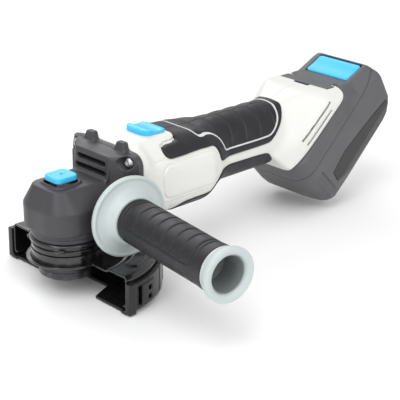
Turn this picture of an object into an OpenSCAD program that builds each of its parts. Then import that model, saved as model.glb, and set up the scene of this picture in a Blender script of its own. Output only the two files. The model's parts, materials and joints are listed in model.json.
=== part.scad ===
// Cordless angle grinder with battery pack, side handle, wheel guard and clip-on cutting cover.
// Frame: origin on the spindle axis at the outer face of the flange nut, +X to the battery,
// -Y to the fitted side handle, +Z up. Millimetres.

/* [Body] */
// Height of the motor axis
axis_z = 59; // [58:0.5:60]
// Width of the motor housing
motor_w = 70; // [66:1:72]
// Height of the motor housing
motor_h = 60; // [60:0.5:61]
// Radius of the handle
grip_r = 26; // [25:0.5:27]
// Where the gear head ends and the motor housing starts
seam_x = 42; // [41:0.5:43]
// Where the motor housing starts to narrow into the handle
motor_end_x = 122; // [121:0.5:124]
// Where the handle starts
grip_x = 138; // [137:0.5:141]
// Where the handle widens into the battery foot
foot_x = 205; // [203:1:206]
// Wall of the plastic shells
wall = 2.6; // [2.2:0.1:3]

/* [Gear head] */
// Half width of the gear head above the spindle
head_half = 27; // [26.5:0.5:28]
// Height of the flat top of the gear head
head_top = 69; // [68:0.5:70]
// Height of the crease under the sloped shoulders
crease_z = 53; // [51:0.5:54]
// Height of the joint between gear housing and bearing cover
cover_z = 30; // [29:0.5:31]
// Width of the flange to the motor housing
flange_w = 76; // [75:1:78]
// Distance of the flange screws from the middle
screw_y = 29; // [28:0.5:30]

/* [Spindle] */
// Diameter of the spindle thread
thread_d = 14; // [14:1:14]
// Diameter of the inner flange and the flange nut
flange_d = 41.5; // [40:0.5:42]
// Thickness of the flange nut
nut_t = 5.4; // [5:0.1:6]
// Thickness of the inner flange
flange_t = 5; // [4.5:0.1:5.2]
// Teeth of the pinion
pinion_teeth = 9; // [9:1:9]
// Teeth of the crown gear
crown_teeth = 36; // [36:1:36]

/* [Guard] */
// Radius of the steel guard
guard_r = 66; // [64:0.5:66]
// Outer radius of the clip-on cover
cutting_cover_r = 69.6; // [69:0.1:71]
// Lowest level of the clip-on cover
cover_bottom = -12.7; // [-13:0.1:-12]

/* [Side handle] */
// Length from the flange rim to the end face
handle_len = 120.6; // [110:0.2:125]
// Lean of the side handle towards the front
handle_lean = 7.9; // [6:0.1:9]
// Radius of the side handle's flange
handle_flange_r = 30.5; // [29:0.5:31]
// Radius of the rubber grip on the side handle
handle_grip_r = 17; // [16.5:0.1:17.5]

/* [Battery] */
// Tilt of the battery rails above the horizontal
tilt = 43.5; // [43:0.5:44]
// Distance of the rail plane from the origin
rail_plane = 120; // [119:0.5:121]
// Thickness of the battery below the rail plane
battery_t = 64; // [63:0.5:65]
// Width of the battery
battery_w = 75; // [74:0.5:76]
// Lower end of the battery along the rails
battery_low = 173; // [172:0.5:174]
// Upper end of the battery along the rails
battery_high = 291; // [290:0.5:292]

/* [Hidden] */

$fn = 64;
hull_fn = 32;
eps = 0.01;
gap = 0.3;            // clearance between parts that move past each other
fit = 0.05;           // radial clearance of a running fit
far = 400;            // larger than the whole tool

// Colours
charcoal = [0.42, 0.42, 0.44];
black = [0.12, 0.12, 0.13];
white = [0.92, 0.92, 0.90];
light_grey = [0.78, 0.81, 0.81];
cyan = [0.25, 0.74, 0.94];
steel = [0.75, 0.76, 0.78];
brass = [0.80, 0.66, 0.35];

// Motor housing section
section_z = 59.4;
section_r = 24;
collar_x = 50;
collar_r = 14;
pad_top = 89.4;

// Gear head
head_front = -27;
head_rear = 32;
head_round = 20;
plateau_half = 17.5;
plateau_front = -20.5;
block_front_low = 20;
block_front_high = 25;
block_half = 21;
flange_front = 38;
flange_low = 25;
flange_high = 88.7;
lug_top = 94.5;
chamber_r = 23.4;
chamber_roof = 56;
tunnel_r = 16;
bush_r = 5.5;
bush_h = 9;
bush_low = 56.2;
top_r = 3.5;
lock_x = -10;
lock_pin_r = 2;
cap_x = -3;
cap_w = 18;
cap_low = 71.4;
cap_high = 75.4;
pocket_floor = 67.9;
screw_top_z = 82.5;
screw_low_z = 33;

// Lower bearing and neck
bearing_r = 16;
bearing_low = 22.5;
bearing_h = 10;
seat_r = 6;
neck_r = 24;
neck_low = 11;
band_low = 11.4;
band_high = 20.4;
band_t = 2;
clamp_x = 30;
clamp_low = 14.1;
clamp_z = (clamp_low + band_high) / 2;
clamp_angle = 62;
collar_ring_r = 30;

// Gears
pinion_pitch = 4.6;
tooth_half = 0.8;
tooth_play = 0.3;
tooth_w = 0.85;
crown_face_z = axis_z - pinion_pitch - tooth_half - tooth_play;
crown_tip_z = axis_z - pinion_pitch + tooth_half;
crown_low_z = crown_face_z - 6.8;
crown_r = 21.5;
crown_in_r = 15.5;
gear_seat_r = 5.5;
lock_holes = 4;
lock_hole_r = 2.35;

// Motor
shaft_r = 4;
shaft_tip_r = 2.5;
can_x = 58;
can_len = 46;
can_r = 25;
can_bore_r = 22.4;
magnet_t = 3;
core_r = 18.6;
fan_x = 46;
fan_r = 25;
fan_t = 8;
small_bearing_r = 11;
small_bearing_w = 7;
front_bearing_x = 27;
rear_bearing_x = 117;
commutator_x = 107;
commutator_r = 9;

// Slide switch
thumb_front = 66;
thumb_rear = 88;
thumb_w = 25;
thumb_low = 89.7;
rod_low = 84.7;
rod_end = 120;
rod_t = 1.6;
rod_hook = 76;
switch_travel = 8;

// Side handle
handle_x = 25;
handle_y = -39.9;
handle_z = 47.4;
stud_r = 4;
stud_in = 16;
boss_r = 13;
boss_face = -3;

// Foot and battery along the rails
grip_len = foot_x - 2.3 - grip_x;
foot_low = 171;
foot_high = 253;
foot_w = 77.6;
foot_depth = 8;
foot_top = 92;
channel_h = 13;       // height of the rail channel above the rail plane
channel_half = 26.4;
channel_low = 179;
tongue_low = 182;
tongue_h = 12.6;
tongue_head = 26;
tongue_neck = 21;
tongue_step = 5.6;
lip_half = tongue_neck + 0.4;
shell_split = 17;
slope_x = 280;        // where the top of the battery starts to rise towards its rear edge
slope_angle = 25.5;
button_w = 45;
button_len = 21;
tooth_x = [245, 250];
post_x = 283.6;
post_t = 2.8;
tooth_half_w = 7.6;
arm_z = 79;
arm_t = 2;
cell_r = 9.2;
cell_len = 65;
cell_pitch = 20;
cell_first = 189;
cell_layers = [30, 49.6];
blade_y = [-16, -6, 6, 16];
battery_screw_x = [battery_low + 20, battery_high - 28];

// ---------- helpers ----------

// Rectangle with true round corners, centred
module round_rect(w, h, r) {
    square([w - 2 * r, h], center = true);
    square([w, h - 2 * r], center = true);
    for (sx = [-1, 1], sy = [-1, 1])
        translate([sx * (w / 2 - r), sy * (h / 2 - r)]) circle(r);
}

// Section across the tool (width along Y, height along Z) pushed from x over len
module across(x, len, z = axis_z)
    translate([x, 0, z]) rotate([90, 0, 90]) linear_extrude(len) children();

// Cylinder or tube along X
module rod_x(x, len, r, z = axis_z, y = 0)
    translate([x, y, z]) rotate([0, 90, 0]) cylinder(r = r, h = len);

module tube_x(x, len, r_out, r_in) difference() {
    rod_x(x, len, r_out);
    rod_x(x - 1, len + 2, r_in);
}

module tube(z, h, r_out, r_in) translate([0, 0, z]) difference() {
    cylinder(r = r_out, h = h);
    translate([0, 0, -1]) cylinder(r = r_in, h = h + 2);
}

// Half space on one side of the middle plane: side is -1 or 1
module half_space(side)
    translate([-far / 2, side > 0 ? 0 : -far, -far / 2]) cube([2 * far, far, far]);

// Outline in the XZ plane pushed along Y from y over len
module xz(y, len) translate([0, y + len, 0]) rotate([90, 0, 0]) linear_extrude(len) children();

// The battery's own frame: +X along the rails, +Z from the battery into the foot
module rails() rotate([0, -tilt, 0]) children();

// The side handle's own frame: +Z outwards along the handle
module side_handle_frame(side = 1)
    translate([handle_x, side * handle_y, handle_z])
        rotate([0, 0, -side * handle_lean]) rotate([side * 90, 0, 0]) children();

// Pan head screw pointing down -Z, head seat at 0
module pan_screw(len, r, head_r, head_h) {
    translate([0, 0, -len]) cylinder(r = r, h = len, $fn = 24);
    difference() {
        cylinder(r1 = head_r, r2 = head_r * 0.8, h = head_h, $fn = 32);
        for (a = [0, 90])
            rotate([0, 0, a]) translate([-head_r / 2, -0.5, head_h / 2]) cube([head_r, 1, head_h]);
    }
}

// Ball bearing along Z: two rings, shields between them and the grooves of the rings
module ball_bearing(r_out, r_in, w) {
    ring = (r_out - r_in) * 0.3;
    difference() {
        cylinder(r = r_out, h = w);
        translate([0, 0, -1]) cylinder(r = r_in, h = w + 2);
        for (z = [-eps, w - 0.5]) translate([0, 0, z]) difference() {
            cylinder(r = r_out - ring, h = 0.5 + eps);
            cylinder(r = r_in + ring, h = 0.5 + eps);
        }
    }
}

// Coil spring along +Z swept as one closed tube
module coil(r, wire, turns, len) {
    sides = 6;
    steps = turns * 14;
    function ring(i) = let (a = 360 * i * turns / steps, z = wire + (len - 2 * wire) * i / steps)
        [for (s = [0 : sides - 1]) let (b = 360 * s / sides)
            [(r + wire * cos(b)) * cos(a), (r + wire * cos(b)) * sin(a), z + wire * sin(b)]];
    points = [for (i = [0 : steps]) each ring(i)];
    faces = [
        [for (s = [0 : sides - 1]) s],
        [for (s = [sides - 1 : -1 : 0]) steps * sides + s],
        for (i = [0 : steps - 1], s = [0 : sides - 1]) let (t = (s + 1) % sides)
            [i * sides + s, (i + 1) * sides + s, (i + 1) * sides + t, i * sides + t]];
    polyhedron(points, faces, convexity = 8);
}

// ---------- gear head ----------

module head_plan(front, half, rear, r)
    translate([(front + rear) / 2, 0]) round_rect(rear - front, 2 * half, r);

module gear_housing_outer() {
    translate([0, 0, cover_z]) linear_extrude(crease_z - cover_z)
        head_plan(head_front, head_half, head_rear, head_round);
    // sloped shoulders up to the flat top
    hull() {
        translate([0, 0, crease_z - 1]) linear_extrude(1)
            head_plan(head_front, head_half, head_rear, head_round, $fn = hull_fn);
        translate([0, 0, head_top - 3]) linear_extrude(3)
            head_plan(plateau_front, plateau_half, head_rear, 12, $fn = hull_fn);
    }
    // rear block with its slanted front face
    hull() {
        translate([block_front_low, -block_half, 44]) cube([2, 2 * block_half, 24]);
        translate([block_front_high, -block_half + 4, 66]) cube([2, 2 * block_half - 8, 19]);
        across(flange_front - 2, 2, (flange_low + flange_high) / 2)
            round_rect(flange_w - 5, flange_high - flange_low - 2, 12, $fn = hull_fn);
    }
    across(flange_front, seam_x - flange_front, (flange_low + flange_high) / 2)
        round_rect(flange_w, flange_high - flange_low, 9);
    for (s = [-1, 1])
        translate([flange_front - 1, s * 17 - 5, flange_high - 3])
            cube([seam_x - flange_front + 1, 10, lug_top - flange_high + 3]);
    for (s = [-1, 1])
        side_handle_frame(s) translate([0, 0, boss_face - 16]) cylinder(r = boss_r, h = 16);
}

module gear_housing() color(charcoal) difference() {
    gear_housing_outer();
    // gear chamber, pinion tunnel and the mouth towards the motor
    translate([0, 0, cover_z - 1]) cylinder(r = chamber_r, h = chamber_roof - cover_z + 1);
    rod_x(0, front_bearing_x, tunnel_r - 7);
    rod_x(front_bearing_x, small_bearing_w + eps, small_bearing_r + fit);
    rod_x(front_bearing_x + small_bearing_w, 20, tunnel_r);
    // seat of the upper bush
    translate([0, 0, chamber_roof - 1])
        cylinder(r = bush_r + fit, h = bush_low + bush_h - chamber_roof + 1.2);
    // lock pin bore and the shallow pocket under its cap
    translate([lock_x, 0, chamber_roof - 1]) cylinder(r = lock_pin_r + 0.15, h = 20);
    translate([cap_x - cap_w / 2 - 0.8, -cap_w / 2 - 0.8, pocket_floor])
        cube([cap_w + 1.6, cap_w + 1.6, 10]);
    // two exhaust slots in the slanted face
    for (k = [0, 1])
        translate([block_front_low - 6, 0, 72.8 + 6.8 * k]) rotate([90, 0, 90])
            linear_extrude(seam_x) round_rect(34 - 2 * k, 3.4, 1.6);
    // flange screws: recess in front, clearance hole behind
    for (s = [-1, 1], z = [screw_low_z, screw_top_z]) {
        rod_x(seam_x - 20, 16, 5, z, s * screw_y);
        rod_x(seam_x - 5, 10, 2.2, z, s * screw_y);
    }
    // threaded holes for the side handle, one on each side
    for (s = [-1, 1])
        side_handle_frame(s) translate([0, 0, boss_face - stud_in - 1.5])
            cylinder(r = stud_r + fit, h = stud_in + 10);
    // bearing cover screws
    for (a = [45 : 90 : 315]) rotate([0, 0, a])
        translate([26.2, 0, cover_z - 1]) cylinder(r = 1.6, h = 12, $fn = 24);
}

module gear_housing_screws() color(steel)
    for (s = [-1, 1], z = [screw_low_z, screw_top_z])
        translate([seam_x - 5, s * screw_y, z]) rotate([0, -90, 0]) rotate([0, 0, 45])
            translate([0, 0, 1]) pan_screw(17, 2.1, 4, 2.6);

module bearing_cover() color(charcoal) difference() {
    union() {
        translate([0, 0, neck_low]) cylinder(r = neck_r, h = 12);
        translate([0, 0, 21]) cylinder(r1 = neck_r + 2, r2 = 29.5, h = 4);
        translate([0, 0, 25]) cylinder(r = 29.5, h = cover_z - 25);
        translate([0, 0, cover_z - eps]) cylinder(r = chamber_r - fit, h = 3.5);
    }
    translate([0, 0, bearing_low]) cylinder(r = bearing_r + 0.02, h = 20);
    translate([0, 0, neck_low - 1]) cylinder(r = 12.2, h = 20);
    for (a = [45 : 90 : 315]) rotate([0, 0, a]) translate([26.2, 0, 0]) {
        cylinder(r = 1.7, h = 40, $fn = 24);
        cylinder(r = 3.4, h = 27, $fn = 24);
    }
}

module bearing_cover_screws() color(steel)
    for (a = [45 : 90 : 315]) rotate([0, 0, a])
        translate([26.2, 0, 27]) mirror([0, 0, 1]) pan_screw(12, 1.55, 3, 2);

module spindle_bearing() color(steel)
    translate([0, 0, bearing_low]) ball_bearing(bearing_r, seat_r, bearing_h);

module spindle_bush() color(steel) tube(bush_low, bush_h, bush_r, top_r + fit);

module lock_spring() color(steel)
    translate([lock_x, 0, pocket_floor + 0.15]) coil(2.4, 0.3, 3, 5.6);

module lock_button() color(cyan) difference() {
    hull() {
        translate([cap_x, 0, cap_low]) linear_extrude(cap_high - cap_low - 0.8)
            round_rect(cap_w, cap_w, 4.5, $fn = hull_fn);
        translate([cap_x, 0, cap_low]) linear_extrude(cap_high - cap_low)
            round_rect(cap_w - 2, cap_w - 2, 4, $fn = hull_fn);
    }
    translate([cap_x, 0, cap_high - 0.5]) cylinder(r = 1.6, h = 1);
    translate([lock_x, 0, cap_low - 1]) cylinder(r = 3.6, h = 3.4);
}

module lock_pin() color(steel)
    translate([lock_x, 0, crown_face_z + 0.6])
        cylinder(r = lock_pin_r, h = cap_low + 2.4 - crown_face_z - 0.6);

// ---------- spindle ----------

module spindle() color(steel) {
    cylinder(r = thread_d / 2, h = 13.1);
    translate([0, 0, 13]) cylinder(r = 9, h = bearing_low - 13);
    translate([0, 0, bearing_low]) cylinder(r = seat_r, h = crown_low_z - bearing_low);
    translate([0, 0, crown_low_z]) cylinder(r = gear_seat_r, h = crown_face_z - crown_low_z + 2);
    translate([0, 0, crown_face_z + 2]) cylinder(r = top_r, h = bush_low + bush_h - crown_face_z - 2.4);
}

module crown_gear() color(steel) difference() {
    union() {
        translate([0, 0, crown_low_z])
            cylinder(r1 = crown_r - 3, r2 = crown_r, h = crown_face_z - crown_low_z);
        for (k = [0 : crown_teeth - 1]) rotate([0, 0, k * 360 / crown_teeth])
            translate([crown_in_r, -tooth_w / 2, crown_face_z - eps])
                cube([crown_r - crown_in_r - 0.3, tooth_w, crown_tip_z - crown_face_z]);
    }
    translate([0, 0, crown_low_z - 1]) cylinder(r = gear_seat_r, h = 12);
    for (a = [0 : 360 / lock_holes : 359]) rotate([0, 0, a])
        translate([lock_x, 0, crown_low_z - 1]) cylinder(r = lock_hole_r, h = 12, $fn = 32);
}

module inner_flange() color(steel) difference() {
    union() {
        translate([0, 0, nut_t]) cylinder(r = flange_d / 2, h = flange_t - 0.6);
        translate([0, 0, nut_t + flange_t - 0.6])
            cylinder(r1 = flange_d / 2, r2 = flange_d / 2 - 0.6, h = 0.6);
        translate([0, 0, nut_t + flange_t - eps]) cylinder(r = 11, h = 13 - nut_t - flange_t);
    }
    translate([0, 0, nut_t - 1]) cylinder(r = thread_d / 2, h = 12);
    translate([0, 0, nut_t - eps]) tube(0, 0.6, 16, 11);
}

module lock_nut() color(steel) difference() {
    union() {
        cylinder(r1 = flange_d / 2 - 0.8, r2 = flange_d / 2, h = 0.8);
        translate([0, 0, 0.8]) cylinder(r = flange_d / 2, h = nut_t - 0.8);
    }
    translate([0, 0, -1]) cylinder(r = thread_d / 2, h = nut_t + 2);
    for (a = [0 : 90 : 270]) rotate([0, 0, a])
        translate([15, 0, -1]) cylinder(r = 2.6, h = nut_t, $fn = 32);
}

// ---------- motor ----------

module armature_shaft() color(steel) {
    rod_x(24, rear_bearing_x + small_bearing_w + 1 - 24, shaft_r);
    rod_x(12.5, 11.6, shaft_tip_r);
}

module pinion_gear() color(steel) difference() {
    union() {
        rod_x(crown_in_r - 1.5, 7.6, pinion_pitch - tooth_half - tooth_play);
        rod_x(crown_in_r + 6, 2.4, pinion_pitch + tooth_half);
        for (k = [0 : pinion_teeth - 1]) translate([crown_in_r - 1.5, 0, axis_z])
            rotate([k * 360 / pinion_teeth, 0, 0])
                translate([0, -tooth_w / 2, 0]) cube([7.6, tooth_w, pinion_pitch + tooth_half]);
    }
    rod_x(0, 40, shaft_tip_r);
}

module front_bearing() color(steel)
    translate([front_bearing_x, 0, axis_z]) rotate([0, 90, 0])
        ball_bearing(small_bearing_r, shaft_r, small_bearing_w);

module rear_bearing() color(steel)
    translate([rear_bearing_x, 0, axis_z]) rotate([0, 90, 0])
        ball_bearing(small_bearing_r, shaft_r, small_bearing_w);

module cooling_fan() color(black) difference() {
    union() {
        rod_x(fan_x + fan_t - 1.6, 1.6, fan_r);
        rod_x(fan_x, fan_t, 8);
        for (a = [0 : 30 : 330]) translate([fan_x, 0, axis_z]) rotate([a, 0, 0])
            translate([0, 7, -0.7]) rotate([12, 0, 0]) cube([fan_t - 1, fan_r - 8.5, 1.4]);
    }
    rod_x(fan_x - 1, fan_t + 2, shaft_r);
}

module air_baffle() color(black) tube_x(fan_x + fan_t + 1, 2, can_r + 1.4, 20);

module motor_can() color(steel) tube_x(can_x, can_len, can_r, can_bore_r);

module motor_magnets() color([0.25, 0.25, 0.27]) difference() {
    tube_x(can_x + 3, can_len - 6, can_bore_r, can_bore_r - magnet_t);
    for (s = [-1, 1]) translate([can_x, -6, axis_z + s * 20 - 12]) cube([can_len, 12, 24]);
}

module armature_core() color([0.55, 0.55, 0.57]) difference() {
    rod_x(can_x + 4, can_len - 10, core_r);
    rod_x(can_x, can_len, shaft_r);
    for (a = [0 : 30 : 330]) translate([can_x, 0, axis_z]) rotate([a, 0, 0])
        translate([-1, -0.7, core_r - 3]) cube([can_len + 2, 1.4, 4]);
}

module armature_windings() color([0.72, 0.40, 0.20]) difference() {
    union() {
        rod_x(can_x - 1.5, 5.5, core_r - 3.4);
        rod_x(can_x + can_len - 6, 7, core_r - 3.4);
    }
    rod_x(can_x - 2, can_len + 8, shaft_r);
}

module commutator() color(brass) difference() {
    rod_x(commutator_x, 9, commutator_r);
    rod_x(commutator_x - 1, 12, shaft_r);
    for (a = [0 : 30 : 330]) translate([commutator_x, 0, axis_z]) rotate([a, 0, 0])
        translate([-1, -0.25, commutator_r - 0.6]) cube([8, 0.5, 2]);
}

module brush_holders() color(brass)
    for (s = [-1, 1]) translate([commutator_x + 0.5, s > 0 ? 10.5 : -26.5, axis_z - 4.6]) difference() {
        cube([7.4, 16, 9.2]);
        translate([0.6, -1, 0.6]) cube([6.2, 18, 8]);
    }

module carbon_brushes() color(black)
    for (s = [-1, 1])
        translate([commutator_x + 1.2, s > 0 ? commutator_r + gap : -20, axis_z - 3.9])
            cube([6, 20 - commutator_r - gap, 7.8]);

module brush_springs() color(steel)
    for (s = [-1, 1]) translate([commutator_x + 4.2, s * 20.2, axis_z])
        rotate([-s * 90, 0, 0]) coil(2.2, 0.3, 4, 6.2);

// ---------- plastic housing ----------

// Everything on the foot's side of the rail plane, d away from it
module foot_side(d) rails() translate([0, -100, -rail_plane + d]) cube([500, 200, 400]);

module foot_outer() intersection() {
    foot_side(gap);
    foot_hull();
}

module foot_hull() hull() {
    rod_x(foot_x - 2, 2, grip_r - 0.4, $fn = hull_fn);
    across(222, 4, 62) round_rect(70, 60, 12, $fn = hull_fn);
    rails() translate([(foot_low + foot_high) / 2, 0, -rail_plane]) linear_extrude(foot_depth)
        round_rect(foot_high - foot_low, foot_w, 13, $fn = hull_fn);
}

module foot_cavity() intersection() {
    foot_side(wall + gap);
    foot_cavity_hull();
}

module foot_cavity_hull() hull() {
    rod_x(foot_x - 3, 2, grip_r - 1.6 - wall, $fn = hull_fn);
    across(222, 2, 62) round_rect(70 - 2 * wall, 60 - 2 * wall, 10, $fn = hull_fn);
    rails() translate([(foot_low + foot_high) / 2 - 4, 0, -rail_plane + wall]) linear_extrude(2)
        round_rect(foot_high - foot_low - 16, foot_w - 8, 11, $fn = hull_fn);
}

module housing_outer() {
    across(seam_x + 0.05, collar_x - seam_x, section_z) round_rect(flange_w - 2, motor_h + 0.4, collar_r);
    across(collar_x, motor_end_x - collar_x + eps, section_z) round_rect(motor_w, motor_h, section_r);
    hull() {
        across(motor_end_x, eps, section_z) round_rect(motor_w, motor_h, section_r, $fn = hull_fn);
        rod_x(grip_x - 2, 2, grip_r - 1.6, $fn = hull_fn);
    }
    rod_x(grip_x - 1, foot_x - grip_x + 2, grip_r - 1.6);
    foot_outer();
    // raised pad under the slide switch
    across(thumb_front - 14, 50, pad_top - 2) round_rect(34, 4, 1.9);
}

module housing_cavity() {
    across(seam_x - 1, motor_end_x - seam_x + 1 + eps, section_z)
        round_rect(motor_w - 2 * wall, motor_h - 2 * wall, section_r - wall);
    hull() {
        across(motor_end_x, eps, section_z)
            round_rect(motor_w - 2 * wall, motor_h - 2 * wall, section_r - wall, $fn = hull_fn);
        rod_x(grip_x - 1, 1, grip_r - 1.6 - wall, $fn = hull_fn);
    }
    rod_x(grip_x - 1, foot_x - grip_x, grip_r - 1.6 - wall);
    foot_cavity();
}

// Ring and webs that hold the motor can and the rear bearing
module motor_supports() {
    for (x = [can_x + 6, can_x + can_len - 12]) difference() {
        across(x, 4, section_z) round_rect(motor_w - wall, motor_h - 12, section_r - wall);
        rod_x(x - 1, 6, can_r + 0.02);
        translate([x - 1, -8, axis_z]) cube([6, 16, 40]);
    }
    difference() {
        union() {
            rod_x(rear_bearing_x + 1, small_bearing_w - 1, small_bearing_r + 3);
            translate([rear_bearing_x + 1, -motor_w / 2 + 1, axis_z - 5]) cube([4, motor_w - 2, 10]);
        }
        rod_x(rear_bearing_x - 1, small_bearing_w + 1, small_bearing_r + 0.02);
        rod_x(rear_bearing_x - 1, 20, 7);
    }
}

module housing_shell() {
    difference() {
        housing_outer();
        housing_cavity();
        // slot for the stem of the slide switch
        translate([thumb_front + 5 - switch_travel - 0.5, -3.5, 80]) cube([8 + switch_travel + 1, 7, 20]);
        // mouth of the battery rails
        rails() translate([channel_low - 6, -channel_half - 2.6, -rail_plane - 1])
            cube([120, 2 * channel_half + 5.2, channel_h + 1]);
        // pocket of the battery latch, open at the upper end
        rails() translate([220, -tooth_half_w - 0.6, -rail_plane - 1])
            cube([60, 2 * tooth_half_w + 1.2, channel_h + 3.4]);
        // flange screw holes
        for (s = [-1, 1], z = [screw_low_z, screw_top_z]) rod_x(seam_x, 14, 2.12, z, s * screw_y);
        // bays for the side panels and the belly pad
        for (s = [-1, 1]) translate([94, s * (motor_w / 2), axis_z + 1]) rotate([90, 0, 0])
            translate([0, 0, -1.2]) linear_extrude(2.4) round_rect(62, 25, 8);
        translate([74, -10, 0]) cube([40, 20, section_z - motor_h / 2 + 1.2]);
        // air inlets beside the commutator
        for (s = [-1, 1], k = [0 : 3])
            translate([108 + 4 * k, s > 0 ? motor_w / 2 - 14 : -motor_w / 2 - 6, 30]) cube([2, 20, 9]);
        // two vents on each side of the foot
        for (s = [-1, 1], k = [0, 1])
            rails() translate([190, s > 0 ? foot_w / 2 - 6 : -foot_w / 2 - 4, -rail_plane + 5.2 + 6.6 * k])
                cube([46, 10, 1.6]);
        for (x = screw_stations) translate([x[0], 0, x[1]]) rotate([90, 0, 0])
            cylinder(r = 1.6, h = 60, center = true, $fn = 24);
        for (x = screw_stations) translate([x[0], x[2], x[1]]) rotate([-90, 0, 0])
            cylinder(r = 3.4, h = 40, $fn = 24);
    }
    motor_supports();
    for (x = screw_stations) translate([x[0], 0, x[1]]) rotate([90, 0, 0]) difference() {
        translate([0, 0, -x[2]]) cylinder(r = 3.6, h = 2 * x[2], $fn = 32);
        translate([0, 0, -40]) cylinder(r = 1.6, h = 80, $fn = 24);
    }
}

// Screws through the two halves: x, z and depth of the head
screw_stations = [[136, 41, 12], [164, 44, 12], [196, 44, 12], [215, 70, 18], [176, 76, 10]];

module housing_left() color(white) intersection() {
    housing_shell();
    half_space(-1);
}

module housing_right() color(white) intersection() {
    housing_shell();
    half_space(1);
}

module housing_screws() color(steel)
    for (x = screw_stations) translate([x[0], x[2], x[1]]) rotate([-90, 0, 0])
        pan_screw(x[2] + 8, 1.55, 3.1, 2);

// Tube sector on the handle between two heights
module grip_band(x, len, z_low, z_high, side) intersection() {
    tube_x(x, len, grip_r, grip_r - 1.55);
    translate([x, side > 0 ? eps : -60, z_low]) cube([len, 60 - eps, z_high - z_low]);
}

module grip_left() color(black) grip_band(grip_x, grip_len, 69.5, 100, -1);

module grip_right() color(black) grip_band(grip_x, grip_len, 69.5, 100, 1);

module grip_inlays() color(light_grey)
    for (s = [-1, 1]) grip_band(grip_x, 48, 68, 69.4, s);

module lower_grips() color(black)
    for (s = [-1, 1]) grip_band(grip_x, 46, 38, 54, s);

module belly_pad() color(black)
    translate([74.1, -9.9, section_z - motor_h / 2 - 0.6]) cube([39.8, 19.8, 1.75]);

module side_panels() color(white)
    for (s = [-1, 1]) translate([94, s * (motor_w / 2), axis_z + 1]) rotate([s * 90, 0, 0])
        translate([0, 0, -0.1]) mirror([0, 0, 1]) linear_extrude(1) round_rect(61.8, 24.8, 7.9);

module switch_module() color(black) {
    translate([142, -9, 60]) cube([22, 18, 14]);
    translate([148, -3, 74]) cube([8, 6, 1.2]);
}

module control_board() color([0.1, 0.35, 0.2]) {
    translate([168, -14, 50]) cube([30, 28, 1.6]);
    translate([172, -6, 51.6]) cube([12, 12, 6]);
}

module battery_rails() color(black) intersection() {
    rails() translate([channel_low, 0, -rail_plane]) difference() {
        translate([0, -channel_half - 2.4, gap]) cube([80, 2 * channel_half + 4.8, channel_h - gap - 0.1]);
        translate([-1, -lip_half, -1]) cube([90, 2 * lip_half, channel_h + 2]);
        translate([-1, -channel_half, tongue_step - 0.1]) cube([90, 2 * channel_half, channel_h]);
    }
    xz(-60, 120) polygon([[100, -100], [100, foot_top - 4], [244, foot_top - 4],
        [262, foot_top - 10], [262, -100]]);
}

module terminal_block() color(black) rails()
    translate([foot_low + 3, -20, -rail_plane + 2]) cube([channel_low - 4 - foot_low - 3, 40, channel_h - 3]);

module foot_contacts() color(brass) rails() translate([0, 0, -rail_plane])
    for (y = blade_y) translate([channel_low - 4, y - 0.4, 4]) cube([15, 0.8, 5]);

module lead(a, b, r) hull() {
    translate(a) sphere(r, $fn = 12);
    translate(b) sphere(r, $fn = 12);
}

module power_leads()
    for (s = [-1, 1]) color(s > 0 ? [0.7, 0.1, 0.1] : black) {
        lead([165.2, s * 6, 66], [190, s * 16, 64], 1.2);
        lead([190, s * 16, 64], [212, s * 10, 62], 1.2);
    }

// ---------- slide switch ----------

module slide_switch() color(cyan) {
    hull() {
        translate([thumb_front, -thumb_w / 2 + 4, thumb_low]) cube([2, thumb_w - 8, 2.4]);
        translate([thumb_front + 4, -thumb_w / 2, thumb_low]) cube([14, thumb_w, 1.4]);
        translate([thumb_rear - 6, -thumb_w / 2 + 4, thumb_low]) cube([6, thumb_w - 8, 0.8]);
        translate([thumb_front + 9, -thumb_w / 2 + 4, thumb_low]) cube([4, thumb_w - 8, 3.4]);
    }
    translate([thumb_front + 5, -3, rod_low + rod_t]) cube([8, 6, thumb_low - rod_low - rod_t + eps]);
}

module switch_rod() color(steel) {
    translate([thumb_front + 2, -4, rod_low]) cube([rod_end - thumb_front - 2, 8, rod_t]);
    translate([rod_end - rod_t, -4, rod_hook]) cube([rod_t, 8, rod_low - rod_hook + rod_t]);
    translate([rod_end - rod_t, -4, rod_hook]) cube([30, 8, rod_t]);
}

// ---------- guard ----------

module half_turn() rotate([0, 0, -90]) rotate_extrude(angle = 180, $fn = 128) children();

module guard_shell() color(black) {
    half_turn() polygon([
        [neck_r + band_t, 12.5], [44, 12.5], [47, 14.5], [guard_r - 1.6, 14.5], [guard_r - 1.6, -6.5],
        [guard_r - 4, -6.5], [guard_r - 4, -8], [guard_r, -8], [guard_r, 14.6], [guard_r - 1.5, 16],
        [46.4, 16], [43.4, 14], [neck_r + band_t, 14]]);
    // collar that carries the shell all the way round the neck
    tube(12.5, 1.5, collar_ring_r, neck_r + band_t);
}

// The clamp sits beside the guard's far edge: +X of this frame points away from the spindle
module clamp_frame() rotate([0, 0, clamp_angle]) children();

module clamp_band() color(black) {
    difference() {
        tube(band_low, band_high - band_low, neck_r + band_t, neck_r + fit);
        clamp_frame() translate([10, -1.5, 0]) cube([30, 3, 40]);
    }
    clamp_frame() for (s = [-1, 1]) difference() {
        translate([24.5, s > 0 ? 1.5 : -4.5, clamp_low]) cube([9.5, 3, band_high - clamp_low]);
        tube(0, 40, neck_r + fit, 1);
        translate([clamp_x, 0, clamp_z]) rotate([90, 0, 0]) cylinder(r = 2.05, h = 20, center = true);
    }
}

module clamp_screw() color(steel) clamp_frame()
    translate([clamp_x, 4.5, clamp_z]) rotate([-90, 0, 0]) pan_screw(11, 2, 2.8, 2.4);

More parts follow.
